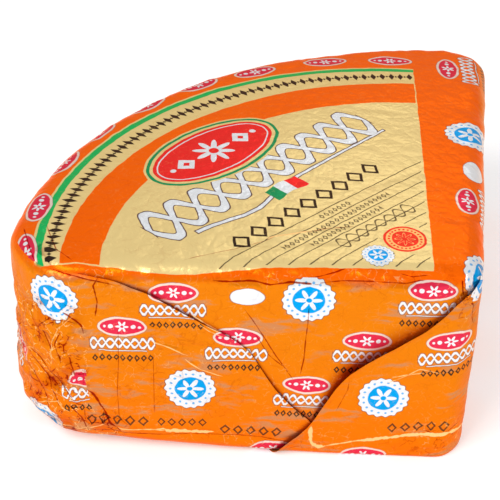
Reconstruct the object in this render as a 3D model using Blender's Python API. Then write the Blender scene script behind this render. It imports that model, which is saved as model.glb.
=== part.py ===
# Eighth of a wheel of gorgonzola, shut in printed foil: half the wheel's height, a quarter of its round.
# The cheese can't be seen, so the pack is one solid: two flat cut sides that meet at the wheel's middle,
# a round rim wall, a top that falls a little towards the rim, and the foil's flaps folded over the cut sides.
# Frame: metres, +Z up, front cut side towards -Y, wheel's middle at the front right, rim left and behind,
# origin under the middle of the bounding box, on the surface that the pack lies on.

import math
import random

import bmesh
import bpy
from mathutils import Vector, noise

# Wedge
RIM_RADIUS_FRONT = 0.147    # middle of the wheel to the rim, along the front cut side
RIM_RADIUS_BACK = 0.1627    # the same along the right cut side: the wheel was cut off its middle
SECTOR_ANGLE = math.radians(98)
HEIGHT_MIDDLE = 0.075
HEIGHT_FRONT_RIM = 0.0738
HEIGHT_BACK_RIM = 0.0697

# Rounding, seen from above and in section
MIDDLE_CORNER = 0.0080
SHARPEST_CORNER = 0.0008    # the least that is left of the middle corner by an inset
FRONT_RIM_CORNER = 0.0206
BACK_RIM_CORNER = 0.0138
TOP_FILLET = 0.0066
BASE_FILLET_MIDDLE = 0.0010  # the cut edges are sharp, and the wheel's own rim is round
BASE_FILLET_RIM = 0.0180

# Foil
WRINKLE_DEPTH = 0.0006
WRINKLE_SIZE = 0.017
VALLEY_DEPTH = 0.0012       # furrow in the foil below the free edge of the front right flap
VALLEY_WIDTH = 0.0060
PLEATS = 9                  # folds where the flat foil is taken round the rim
PLEAT_DEPTH = 0.0014
PLEAT_WIDTH = 0.0085
PLEAT_SEED = 4
FLAP_ROOT_LIFT = 0.0003     # how far a flap stands off where it comes round its corner
PRISM_DEPTH = 0.003         # how deep the solid of a flap reaches into the wedge below it
PRISM_REACH = 0.010         # how far the outline that cuts a flap out reaches past the wedge
FLAP_FLOOR = 0.0002

# Flaps: the side each lies on, how far its free edge stands off, where along the side it comes round
# its corner, and the free edge as (distance from the wheel's middle, height)
FLAPS = {
    "front_right_flap": ("front", 0.0018, 0.004,
                         [(0.0040, 0.0660), (0.0126, 0.0532), (0.0246, 0.0438), (0.0350, 0.0350),
                          (0.0422, 0.0233), (0.0470, 0.0126), (0.0567, 0.0018)]),
    "front_left_flap": ("front", 0.0008, 0.1290,
                        [(0.1290, 0.0680), (0.1105, 0.0672), (0.0954, 0.0609), (0.0778, 0.0512),
                         (0.0680, 0.0420), (0.0604, 0.0279), (0.0528, 0.0172), (0.0470, 0.0080)]),
    "side_back_flap": ("side", 0.0012, 0.1470,
                       [(0.1470, 0.0620), (0.1240, 0.0575), (0.1040, 0.0455), (0.0900, 0.0330),
                        (0.0790, 0.0190), (0.0700, 0.0060)]),
}

# Faceting
LEG_STEPS = 26
RIM_STEPS = 54
CORNER_STEPS = 6
WALL_STEPS = 10
FILLET_STEPS = 4
TOP_RINGS = (0.90, 0.72, 0.50, 0.25)


def clear_scene():
    for obj in list(bpy.data.objects):
        bpy.data.objects.remove(obj, do_unlink=True)


def foil_material():
    material = bpy.data.materials.new("printed_foil")
    material.use_nodes = True
    shader = material.node_tree.nodes["Principled BSDF"]
    shader.inputs["Base Color"].default_value = (0.95, 0.22, 0.005, 1)
    shader.inputs["Roughness"].default_value = 0.34
    shader.inputs["Metallic"].default_value = 0.25
    return material


def arc(centre, radius, start, end, steps):
    """Points from start to end, both ends included."""
    turns = [start + (end - start) * i / steps for i in range(steps + 1)]
    return [Vector((centre[0] + radius * math.cos(a), centre[1] + radius * math.sin(a))) for a in turns]


def between(start, end, steps):
    """Points that divide a straight run, without its ends."""
    return [start.lerp(end, i / steps) for i in range(1, steps)]


def quarter_outline(inset):
    """Rounded quarter of a circle of the front radius, moved in by inset: middle corner, front, rim, side."""
    radius = max(MIDDLE_CORNER - inset, SHARPEST_CORNER)
    middle = arc((-inset - radius, inset + radius), radius, 0, -math.pi / 2, CORNER_STEPS)
    reach = RIM_RADIUS_FRONT - FRONT_RIM_CORNER
    centre = (-math.sqrt(reach**2 - FRONT_RIM_CORNER**2), FRONT_RIM_CORNER)
    front_turn = math.atan2(centre[1], centre[0])
    front_corner = arc(centre, FRONT_RIM_CORNER - inset, math.pi * 1.5, front_turn, CORNER_STEPS)
    reach = RIM_RADIUS_FRONT - BACK_RIM_CORNER
    centre = (-BACK_RIM_CORNER, math.sqrt(reach**2 - BACK_RIM_CORNER**2))
    back_turn = math.atan2(centre[1], centre[0])
    back_corner = arc(centre, BACK_RIM_CORNER - inset, back_turn, 0, CORNER_STEPS)
    rim = arc((0, 0), RIM_RADIUS_FRONT - inset, front_turn, back_turn, RIM_STEPS)
    front = between(middle[-1], front_corner[0], LEG_STEPS)
    side = between(back_corner[-1], middle[0], LEG_STEPS)
    return middle + front + front_corner[:-1] + rim + back_corner[1:] + side


def turn_of(point):
    """0 along the front cut side, 1 along the right one."""
    return math.atan2(point.y, -point.x) / (math.pi / 2)


def opened(point):
    """A point of the quarter in the real wedge, which is wider and runs further out at the back."""
    turn = turn_of(point)
    radius = point.length * (1 + (RIM_RADIUS_BACK / RIM_RADIUS_FRONT - 1) * turn)
    return Vector((-radius * math.cos(turn * SECTOR_ANGLE), radius * math.sin(turn * SECTOR_ANGLE)))


def top_height(point):
    turn = min(max(turn_of(point), 0), 1)
    rim_height = HEIGHT_FRONT_RIM + (HEIGHT_BACK_RIM - HEIGHT_FRONT_RIM) * turn
    return HEIGHT_MIDDLE + (rim_height - HEIGHT_MIDDLE) * (point.length / RIM_RADIUS_FRONT) ** 2


def rim_share(point):
    """How much of the rim's round base edge there is at a point of the outline: 0 at the wheel's middle."""
    return min(point.length / RIM_RADIUS_FRONT, 1) ** 2


def distance_to(edge, along, height):
    """Shortest way from a place on a side to a flap's free edge."""
    place = Vector((along, height))
    found = []
    for start, end in zip(edge, edge[1:]):
        a, b = Vector(start), Vector(end)
        share = (place - a).dot(b - a) / (b - a).length_squared
        found.append((place - a.lerp(b, min(max(share, 0), 1))).length)
    return min(found)


def pleat_turns():
    draw = random.Random(PLEAT_SEED)
    return [(i + 0.5 + draw.uniform(-0.25, 0.25)) / PLEATS for i in range(PLEATS)]


def relief(point, height):
    """How far the foil stands out of the wall: wrinkles, the furrow by the right flap, the rim's pleats."""
    low = height / HEIGHT_MIDDLE
    fade = min(1, 5 * min(low, 1 - low))
    depth = WRINKLE_DEPTH * noise.noise(Vector((point.x, point.y, height)) / WRINKLE_SIZE)
    if point.y < VALLEY_WIDTH / 2:
        near = distance_to(FLAPS["front_right_flap"][3], -point.x, height) / VALLEY_WIDTH
        depth -= VALLEY_DEPTH * fade * max(0, 1 - near)
    turn = turn_of(point)
    if 0.08 < turn < 0.94:
        for i, place in enumerate(pleat_turns()):
            lean = 0.04 * (low - 0.5) * (-1) ** i
            away = abs(turn - place - lean) * SECTOR_ANGLE * RIM_RADIUS_BACK / PLEAT_WIDTH
            depth += PLEAT_DEPTH * fade * (1 - low) * max(0, 1 - away)
    return depth


def levels():
    """Each ring from the flat base to the edge of the top, as the part it belongs to and how far through it."""
    turns = [math.pi / 2 * i / FILLET_STEPS for i in range(FILLET_STEPS + 1)]
    base = [("base fillet", turn) for turn in turns]
    wall = [("wall", i / WALL_STEPS) for i in range(1, WALL_STEPS)]
    top = [("top fillet", turn) for turn in turns]
    return base + wall + top


def smooth_ring(part, share):
    """The ring's points before the foil's relief, in the plain quarter, and their heights."""
    plain = quarter_outline(0)
    fillets = [BASE_FILLET_MIDDLE + (BASE_FILLET_RIM - BASE_FILLET_MIDDLE) * rim_share(p) for p in plain]
    if part == "base fillet":
        sharp = quarter_outline(BASE_FILLET_MIDDLE * (1 - math.sin(share)))
        round_ = quarter_outline(BASE_FILLET_RIM * (1 - math.sin(share)))
        points = [a.lerp(b, rim_share(p)) for a, b, p in zip(sharp, round_, plain)]
        return points, [fillet * (1 - math.cos(share)) for fillet in fillets]
    if part == "wall":
        tops = [top_height(p) - TOP_FILLET for p in plain]
        return plain, [fillet + (top - fillet) * share for fillet, top in zip(fillets, tops)]
    points = quarter_outline(TOP_FILLET * (1 - math.cos(share)))
    return points, [top_height(p) - TOP_FILLET * (1 - math.sin(share)) for p in points]


def ring_points(level, lift):
    plain = quarter_outline(0)
    outline = [opened(p) for p in plain]
    points = []
    for i, (inner, height) in enumerate(zip(*smooth_ring(*level))):
        tangent = outline[(i + 1) % len(outline)] - outline[i - 1]
        outward = Vector((-tangent.y, tangent.x)).normalized()
        step = lift(plain[i]) + (relief(plain[i], height) if height > 0 else 0)
        place = opened(inner) + outward * step
        points.append(Vector((place.x, place.y, height)))
    return points


def extrude_ring(bm, ring, edges, points):
    """Extrudes a closed ring and puts the new one on points. Gives the new ring, in order, and its edges."""
    made = bmesh.ops.extrude_edge_only(bm, edges=edges)["geom"]
    fresh = {v for v in made if isinstance(v, bmesh.types.BMVert)}
    above = []
    for vert, point in zip(ring, points):
        new = next(e.other_vert(vert) for e in vert.link_edges if e.other_vert(vert) in fresh)
        new.co = point
        above.append(new)
    return above, [e for e in made if isinstance(e, bmesh.types.BMEdge) and set(e.verts) <= fresh]


def wedge_mesh(lift=lambda point: 0, floor=0.0):
    """The wedge, from its base upwards ring by ring. lift moves the walls out, and floor lifts the base."""
    bm = bmesh.new()
    rings = levels()
    ring = [bm.verts.new(p) for p in ring_points(rings[0], lift)]
    edges = list(bm.faces.new(ring).edges)
    for level in rings[1:]:
        ring, edges = extrude_ring(bm, ring, edges, ring_points(level, lift))
    rim = [v.co.copy() for v in ring]
    centre = sum(rim, Vector()) / len(rim)
    for share in TOP_RINGS:
        points = []
        for outer in rim:
            place = centre.lerp(outer, share)
            swell = WRINKLE_DEPTH * noise.noise(place / WRINKLE_SIZE)
            place.z = HEIGHT_MIDDLE + (outer.z - HEIGHT_MIDDLE) * share**2 + swell
            points.append(place)
        ring, edges = extrude_ring(bm, ring, edges, points)
    bmesh.ops.poke(bm, faces=[bm.faces.new(ring)])
    for vert in bm.verts:
        vert.co.z = max(vert.co.z, floor)
    bmesh.ops.recalc_face_normals(bm, faces=bm.faces)
    return bm


def place_on_side(side, along, out, height):
    if side == "front":
        return Vector((-along, -out, height))
    leg = Vector((-math.cos(SECTOR_ANGLE), math.sin(SECTOR_ANGLE), 0))
    outward = Vector((math.sin(SECTOR_ANGLE), math.cos(SECTOR_ANGLE), 0))
    return leg * along + outward * out + Vector((0, 0, height))


def prism_mesh(side, reach, edge):
    """The straight-sided outline of a flap, from inside the wedge to well outside it."""
    last = edge[-1][0]
    outline = edge + [(last, -PRISM_REACH), (reach, -PRISM_REACH)]
    if abs(edge[0][0] - reach) > 1e-6:
        outline.append((reach, edge[0][1]))
    bm = bmesh.new()
    inner = [bm.verts.new(place_on_side(side, along, -PRISM_DEPTH, height)) for along, height in outline]
    face = bm.faces.new(inner)
    made = bmesh.ops.extrude_face_region(bm, geom=[face])["geom"]
    outward = place_on_side(side, 0, PRISM_DEPTH + PRISM_REACH, 0)
    bmesh.ops.translate(bm, vec=outward, verts=[v for v in made if isinstance(v, bmesh.types.BMVert)])
    bmesh.ops.recalc_face_normals(bm, faces=bm.faces)
    return bm


def flap_lift(side, lift, reach, edge):
    """Lift over a side: least at the corner that the flap comes round, most at its free edge."""
    free = max(edge, key=lambda place: abs(place[0] - reach))[0]

    def at(point):
        along = -point.x if side == "front" else point.y * RIM_RADIUS_BACK / RIM_RADIUS_FRONT
        share = (along - reach) / (free - reach)
        return FLAP_ROOT_LIFT + (lift - FLAP_ROOT_LIFT) * min(max(share * 2, 0), 1)

    return at


def add_object(name, bm):
    mesh = bpy.data.meshes.new(name)
    bm.to_mesh(mesh)
    bm.free()
    obj = bpy.data.objects.new(name, mesh)
    bpy.context.scene.collection.objects.link(obj)
    return obj


def add_boolean(obj, other, operation):
    modifier = obj.modifiers.new(f"{operation.lower()}_{other.name}", "BOOLEAN")
    modifier.operation = operation
    modifier.solver = "EXACT"
    modifier.object = other
    other.hide_render = True
    other.display_type = "WIRE"


def centre_over_origin(pack, parts):
    """Moves all of it from the wheel's middle, where it is modelled, to the middle of its own box."""
    graph = bpy.context.evaluated_depsgraph_get()
    points = [v.co for v in pack.evaluated_get(graph).data.vertices]
    middle = [(min(p[i] for p in points) + max(p[i] for p in points)) / 2 for i in (0, 1)]
    for part in parts:
        part.location = (-middle[0], -middle[1], 0)


def build():
    clear_scene()
    pack = add_object("wrapped_wedge", wedge_mesh())
    parts = [pack]
    for name, (side, lift, reach, edge) in FLAPS.items():
        flap = add_object(name, wedge_mesh(flap_lift(side, lift, reach, edge), FLAP_FLOOR))
        outline = add_object(name + "_outline", prism_mesh(side, reach, edge))
        add_boolean(flap, outline, "INTERSECT")
        add_boolean(pack, flap, "UNION")
        parts += [flap, outline]
    pack.data.materials.append(foil_material())
    centre_over_origin(pack, parts)


build()
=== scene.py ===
import math

import bmesh
import bpy
import numpy as np
from mathutils import Euler, Matrix, Vector


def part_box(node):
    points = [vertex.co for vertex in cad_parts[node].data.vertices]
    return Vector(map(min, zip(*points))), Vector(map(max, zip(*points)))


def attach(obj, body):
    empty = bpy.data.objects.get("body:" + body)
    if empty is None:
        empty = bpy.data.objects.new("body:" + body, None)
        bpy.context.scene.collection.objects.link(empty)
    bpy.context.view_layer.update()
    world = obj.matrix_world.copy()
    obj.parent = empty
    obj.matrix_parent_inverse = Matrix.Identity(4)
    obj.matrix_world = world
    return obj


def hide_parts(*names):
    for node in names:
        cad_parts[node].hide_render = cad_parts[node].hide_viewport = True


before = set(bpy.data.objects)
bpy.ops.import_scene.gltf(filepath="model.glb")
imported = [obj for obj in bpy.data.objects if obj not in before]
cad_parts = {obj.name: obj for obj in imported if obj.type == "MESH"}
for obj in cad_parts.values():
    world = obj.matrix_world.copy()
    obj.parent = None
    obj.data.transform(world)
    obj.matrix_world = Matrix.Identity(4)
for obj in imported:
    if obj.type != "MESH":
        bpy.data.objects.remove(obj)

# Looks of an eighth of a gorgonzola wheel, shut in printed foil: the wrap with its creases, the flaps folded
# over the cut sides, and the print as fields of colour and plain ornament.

NODE = "wrapped_wedge"
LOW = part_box(NODE)[0]
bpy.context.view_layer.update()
MM = 0.001

# Wedge in millimetres, as in its solid. Its shapes are made round the wheel's middle, with the front cut side
# along -X, and then moved to where the solid has its middle.
WHEEL_MIDDLE = Vector((LOW.x + 0.1466, LOW.y + 0.0020, LOW.z))
RIM_RADIUS_FRONT = 147
RIM_RADIUS_BACK = 162.7
SECTOR_ANGLE = math.radians(98)
HEIGHT_MIDDLE = 75
HEIGHT_FRONT_RIM = 73.8
HEIGHT_BACK_RIM = 69.7
MIDDLE_CORNER = 8.0
SHARPEST_CORNER = 0.8
FRONT_RIM_CORNER = 20.6
BACK_RIM_CORNER = 13.8
TOP_FILLET = 6.6
BASE_FILLET_MIDDLE = 1.0
BASE_FILLET_RIM = 18.0

# Fineness of the wrap: steps round its outline, and rows from the middle of its base to the middle of its top
MIDDLE_STEPS, FRONT_STEPS, FRONT_CORNER_STEPS = 14, 140, 32
RIM_STEPS, BACK_CORNER_STEPS, SIDE_STEPS = 230, 20, 138
BASE_ROWS, FILLET_ROWS, WALL_ROWS, TOP_ROWS = 8, 8, 62, 70

# Flaps: the free edge and the root line as (millimetres round the outline from the middle corner, height up
# the wall), what the flap stands out by, what its edge curls up by, and the shadow beside the edge as (share
# of the way along it, width, strength)
FLAPS = {
    "front_left_flap": dict(
        edge=[(140, 77), (131.7, 72.4), (120.9, 71.1), (111.8, 69.6), (102.2, 65.6), (97, 62.1), (90, 57.3),
              (79.8, 51.6), (75, 48.2), (70.2, 43.3), (67.1, 37.7), (62.6, 29.8), (58.4, 24), (54.6, 19.6),
              (50, 15.4), (47, 10.5), (44, 5), (42, -1), (41.5, -4)],
        root=[(143, 78), (178, -5)], stands=0.35, curl=0.4,
        shadow=[(0, 0.7, 0.5), (0.2, 0.8, 0.6), (0.36, 1.2, 0.9), (0.46, 0.9, 0.8), (0.52, 0.6, 0.3),
                (0.6, 0.6, 0.35), (0.7, 0.8, 0.7), (0.85, 1, 0.8), (1, 0.8, 0.8)]),
    "front_right_flap": dict(
        edge=[(-7, 73.2), (-2.6, 71.2), (2.6, 69), (7.0, 65.6), (10.7, 60.1), (15.8, 54.5), (21.4, 49.9),
              (27.6, 45.3), (34.1, 40.2), (38.5, 35.9), (42, 30.6), (44.6, 25.3), (46.6, 20.9), (48.6, 16.6),
              (50.6, 12.8), (54.4, 8.2), (58.5, 4.3), (62, 0.5), (63, -3)],
        root=[(-9, 74), (-16, -3)], stands=0.7, curl=1.0,
        shadow=[(0, 0.8, 0.2), (0.12, 1.2, 0.45), (0.22, 2.2, 0.5), (0.3, 3.6, 0.7), (0.4, 4.2, 0.9),
                (0.55, 3.4, 1), (0.66, 1.8, 0.9), (0.78, 0.9, 0.8), (0.88, 0.9, 0.7), (1, 0.8, 0.9)]),
    "side_back_flap": dict(
        edge=[(-148, 58), (-134, 55), (-124, 51.5), (-112, 46), (-104, 41), (-96, 35), (-90, 30.5), (-79, 18),
              (-70, 4), (-67, -5)],
        root=[(-151, 59), (-178, -5)], stands=0.3, curl=0.6,
        shadow=[(0, 0.8, 0.6), (0.4, 2.4, 0.8), (1, 0.9, 0.8)]),
}
FLAP_STEP = 0.9
FOIL_THICKNESS = 0.12
SHARE_UNDER = 0.45  # how far the foil is pressed in under a flap
WALL_END, SHADOW_END = 80, 78  # how far up the profile flaps and front folds, and the flaps' shadows, go


def smoothstep(value, low, high):
    share = np.clip((value - low) / (high - low), 0, 1)
    return share * share * (3 - 2 * share)


# Smooth wedge: its outline, and its surface as rings from the middle of the base to the middle of the top

def arc(centre, radius, start, end, steps):
    turns = np.linspace(start, end, steps + 1)
    return np.stack([centre[0] + radius * np.cos(turns), centre[1] + radius * np.sin(turns)], 1)


def between(start, end, steps):
    shares = np.linspace(0, 1, steps + 1)[1:-1, None]
    return start * (1 - shares) + end * shares


def quarter_outline(inset):
    """The rounded quarter moved in by inset: middle corner, front, rim, side."""
    radius = max(MIDDLE_CORNER - inset, SHARPEST_CORNER)
    middle = arc((-inset - radius, inset + radius), radius, 0, -math.pi / 2, MIDDLE_STEPS)
    reach = RIM_RADIUS_FRONT - FRONT_RIM_CORNER
    centre = (-math.sqrt(reach**2 - FRONT_RIM_CORNER**2), FRONT_RIM_CORNER)
    front_turn = math.atan2(centre[1], centre[0])
    front_corner = arc(centre, FRONT_RIM_CORNER - inset, math.pi * 1.5, front_turn, FRONT_CORNER_STEPS)
    reach = RIM_RADIUS_FRONT - BACK_RIM_CORNER
    centre = (-BACK_RIM_CORNER, math.sqrt(reach**2 - BACK_RIM_CORNER**2))
    back_turn = math.atan2(centre[1], centre[0])
    back_corner = arc(centre, BACK_RIM_CORNER - inset, back_turn, 0, BACK_CORNER_STEPS)
    rim = arc((0, 0), RIM_RADIUS_FRONT - inset, front_turn, back_turn, RIM_STEPS)
    front = between(middle[-1], front_corner[0], FRONT_STEPS)
    side = between(back_corner[-1], middle[0], SIDE_STEPS)
    return np.concatenate([middle, front, front_corner[:-1], rim, back_corner[1:], side])


def turn_of(points):
    return np.arctan2(points[:, 1], -points[:, 0]) / (math.pi / 2)


def opened(points):
    """Points of the quarter on the real wedge, which is wider and reaches further out at the back."""
    turn = turn_of(points)
    radius = np.hypot(points[:, 0], points[:, 1]) * (1 + (RIM_RADIUS_BACK / RIM_RADIUS_FRONT - 1) * turn)
    return np.stack([-radius * np.cos(turn * SECTOR_ANGLE), radius * np.sin(turn * SECTOR_ANGLE)], 1)


def top_height(points):
    rim_height = HEIGHT_FRONT_RIM + (HEIGHT_BACK_RIM - HEIGHT_FRONT_RIM) * np.clip(turn_of(points), 0, 1)
    reach = np.hypot(points[:, 0], points[:, 1]) / RIM_RADIUS_FRONT
    return HEIGHT_MIDDLE + (rim_height - HEIGHT_MIDDLE) * reach**2


class SmoothWedge:
    """Grid of points over the whole wedge, one row per ring. Each point also knows how far round the outline
    it lies (around), how far up the profile (up, the height on an upright wall) and where it lies on the
    top's print when that is rolled out flat over the edge (flat)."""

    def __init__(self):
        # The columns start and end behind, in the middle of the rim.
        self.seam = MIDDLE_STEPS + FRONT_STEPS + FRONT_CORNER_STEPS + RIM_STEPS // 2
        self.quarter = quarter_outline(0)
        self.rim_share = np.clip(np.hypot(*self.quarter.T) / RIM_RADIUS_FRONT, 0, 1) ** 2
        self.base_fillet = BASE_FILLET_MIDDLE + (BASE_FILLET_RIM - BASE_FILLET_MIDDLE) * self.rim_share
        plain = opened(self.quarter)
        steps = np.linalg.norm(np.roll(plain, -1, 0) - plain, axis=1)
        around = np.concatenate([[0], np.cumsum(steps)])
        around += MIDDLE_CORNER - around[MIDDLE_STEPS]
        columns = len(plain)
        self.around = np.concatenate([around[self.seam:columns] - around[-1] + around[0],
                                      around[:self.seam + 1]])
        tangent = np.roll(plain, -1, 0) - np.roll(plain, 1, 0)
        outward = np.stack([-tangent[:, 1], tangent[:, 0]], 1)
        self.outward = self.seamed(outward / np.linalg.norm(outward, axis=1, keepdims=True))
        self.edge = self.seamed(opened(quarter_outline(TOP_FILLET)))
        turns = np.linspace(0, 1, FILLET_ROWS + 1)
        rings = [self.base_ring(share) for share in np.linspace(0, 1, BASE_ROWS + 1)[:-1]]
        rings += [self.base_fillet_ring(share * math.pi / 2) for share in turns]
        rings += [self.wall_ring(share) for share in np.linspace(0, 1, WALL_ROWS + 1)[1:-1]]
        rings += [self.top_fillet_ring(share * math.pi / 2) for share in turns]
        rings += [self.top_ring(share) for share in np.linspace(1, 0, TOP_ROWS + 1)[1:]]
        self.points = np.stack([points for points, up, flat in rings])
        self.up = np.stack([up for points, up, flat in rings])
        self.flat = np.stack([flat for points, up, flat in rings])
        self.normals = self.slope_normals()

    def seamed(self, values):
        """Values of the outline's points, started at the seam and with the first one again at the end."""
        rolled = np.roll(values, -self.seam, 0)
        return np.concatenate([rolled, rolled[:1]])

    def ring(self, quarter, height, up):
        """A ring of points with their way up the profile and their places on the top's print."""
        past_edge = top_height(quarter) - TOP_FILLET + TOP_FILLET * math.pi / 2 - up
        place = self.seamed(np.column_stack([opened(quarter), height]))
        return place, self.seamed(up), self.edge + self.outward * self.seamed(past_edge)[:, None]

    def base_fillet_ring(self, turn):
        sharp = quarter_outline(BASE_FILLET_MIDDLE * (1 - math.sin(turn)))
        rounded = quarter_outline(BASE_FILLET_RIM * (1 - math.sin(turn)))
        quarter = sharp + (rounded - sharp) * self.rim_share[:, None]
        return self.ring(quarter, self.base_fillet * (1 - math.cos(turn)),
                         self.base_fillet * (1 - math.pi / 2 + turn))

    def wall_ring(self, share):
        height = self.base_fillet + (top_height(self.quarter) - TOP_FILLET - self.base_fillet) * share
        return self.ring(self.quarter, height, height)

    def top_fillet_ring(self, turn):
        quarter = quarter_outline(TOP_FILLET * (1 - math.cos(turn)))
        wall_top = top_height(quarter) - TOP_FILLET
        return self.ring(quarter, wall_top + TOP_FILLET * math.sin(turn), wall_top + TOP_FILLET * turn)

    def base_ring(self, share):
        place, up, flat = self.base_fillet_ring(0)
        middle = place[:-1].mean(0)
        reach = np.linalg.norm(place - middle, axis=1) * (1 - share)
        return middle + (place - middle) * share, up - reach, flat + self.outward * reach[:, None]

    def top_ring(self, share):
        place, up, flat = self.top_fillet_ring(math.pi / 2)
        middle = place[:-1].mean(0)
        reach = np.linalg.norm(place - middle, axis=1) * (1 - share)
        place = middle + (place - middle) * share
        edge_height = self.seamed(top_height(quarter_outline(TOP_FILLET)))
        place[:, 2] = HEIGHT_MIDDLE + (edge_height - HEIGHT_MIDDLE) * share**2
        return place, up + reach, place[:, :2]

    def slope_normals(self):
        across = np.gradient(self.points, axis=1)
        across[:, [0, -1]] = (self.points[:, 1] - self.points[:, -2])[:, None] / 2
        normals = np.cross(np.gradient(self.points, axis=0), across)
        normals /= np.maximum(np.linalg.norm(normals, axis=2, keepdims=True), 1e-9)
        normals[0], normals[-1] = (0, 0, -1), (0, 0, 1)
        return normals

    def on_wall(self, around, up):
        """Points, normals and places on the top's print at the given lengths round and up the wedge."""
        first = BASE_ROWS // 2
        heights = self.up[first:-TOP_ROWS // 2]
        column = np.interp(around, self.around, np.arange(len(self.around)))
        left = np.clip(column.astype(int), 0, len(self.around) - 2)
        row = np.array([np.interp(u, heights[:, c], np.arange(len(heights))) for u, c in zip(up, left)])
        below = np.clip(row.astype(int), 0, len(heights) - 2)
        sideways, upward = (column - left)[:, None], (row - below)[:, None]
        below += first

        def blend(grid):
            low = grid[below, left] * (1 - sideways) + grid[below, left + 1] * sideways
            high = grid[below + 1, left] * (1 - sideways) + grid[below + 1, left + 1] * sideways
            return low * (1 - upward) + high * upward

        return blend(self.points), blend(self.normals), blend(self.flat)


# Relief of the foil: flat facets between sharp little folds, and the folds that can be told one by one

def facets(points, size, seed):
    """Noise from -1 to 1 that is flat between sharp folds, as crumpled foil is."""
    rng = np.random.default_rng(seed)
    turned = points @ np.array(Euler(rng.uniform(0, math.tau, 3)).to_matrix())
    cells = turned / size + 500
    corner = np.floor(cells).astype(np.int64)
    part = cells - corner
    order = np.argsort(-part, axis=-1)
    part = np.take_along_axis(part, order, -1)
    values = rng.uniform(-1, 1, 4096)

    def value():
        return values[(corner @ np.array([73856093, 19349663, 83492791])) & 4095]

    total = value() * (1 - part[..., 0])
    for step in range(3):
        np.put_along_axis(corner, order[..., step:step + 1],
                          np.take_along_axis(corner, order[..., step:step + 1], -1) + 1, -1)
        weight = part[..., step] - (part[..., step + 1] if step < 2 else 0)
        total += value() * weight
    return total


def bent(points, size, amount, seed):
    """Points pushed about smoothly, so that the facets' folds don't run straight through the foil."""
    rng = np.random.default_rng(seed)
    moved = points.copy()
    for wave in range(5):
        direction = rng.normal(size=3)
        direction /= np.linalg.norm(direction)
        push = rng.normal(size=3)
        phase = points @ direction * (math.tau / (size * rng.uniform(0.7, 1.8))) + rng.uniform(0, math.tau)
        moved += np.sin(phase)[..., None] * push * amount
    return moved


def beside(places, line, open_ends=False):
    """Distance of 2-D places from a line of points, above 0 on its left, and the share of the way along it.
    With open ends the line's first and last steps go on straight, to shares below 0 and above 1."""
    line = np.asarray(line, float)
    steps = np.diff(line, axis=0)
    lengths = np.linalg.norm(steps, axis=1)
    starts = np.concatenate([[0], np.cumsum(lengths)])
    nearest = np.full(places.shape[:-1], 1e9)
    side = np.ones_like(nearest)
    way = np.zeros_like(nearest)
    for number, (start, step, length, done) in enumerate(zip(line, steps, lengths, starts)):
        offset = places - start
        low = -1e9 if open_ends and number == 0 else 0
        high = 1e9 if open_ends and number == len(steps) - 1 else 1
        share = np.clip(offset @ step / length**2, low, high)
        distance = np.linalg.norm(offset - share[..., None] * step, axis=-1)
        closer = distance < nearest
        nearest = np.where(closer, distance, nearest)
        side = np.where(closer, np.sign(step[0] * offset[..., 1] - step[1] * offset[..., 0]), side)
        way = np.where(closer, (done + share * length) / starts[-1], way)
    return nearest * side, way


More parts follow.
